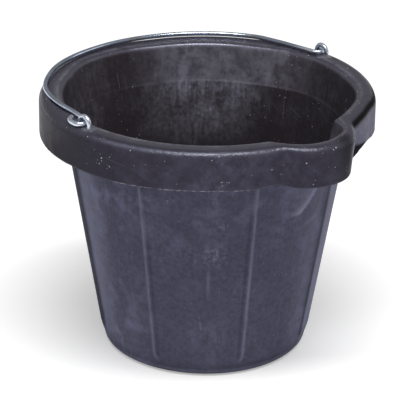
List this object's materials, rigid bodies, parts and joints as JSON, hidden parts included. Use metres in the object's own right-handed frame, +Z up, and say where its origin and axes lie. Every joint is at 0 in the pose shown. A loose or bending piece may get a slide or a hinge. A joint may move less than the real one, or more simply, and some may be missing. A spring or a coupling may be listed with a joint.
{
  "type": "builders bucket",
  "caption": "Round tapered rubber bucket with a deep turned-down rim, a pouring spout and a swinging wire bail, for carrying mortar, rubble or water.",
  "frame": {"origin": "on the bucket's axis, at the underside of its base", "axes": "+Z up along the bucket's axis, -Y towards the spout, +X along the bail's hinge axis to the right eye as seen from the spout"},
  "size_m": [0.35, 0.3719, 0.2929],
  "materials": {
    "rubber": "matt moulded rubber, scuffed",
    "galvanised_wire": "galvanised",
    "plate_steel": "galvanised strip"
  },
  "bodies": {
    "bucket": {"bucket_body": "rubber", "left_eye": "galvanised_wire", "right_eye": "galvanised_wire", "left_backing_plate": "plate_steel", "right_backing_plate": "plate_steel"},
    "bail": {"bail": "galvanised_wire"}
  },
  "joints": [
    {"name": "bail_swing", "type": "hinge", "parent": "bucket", "child": "bail", "pos_m": [0, 0, 0.2829], "axis": [1, 0, 0], "range_deg": [0, 180]}
  ]
}
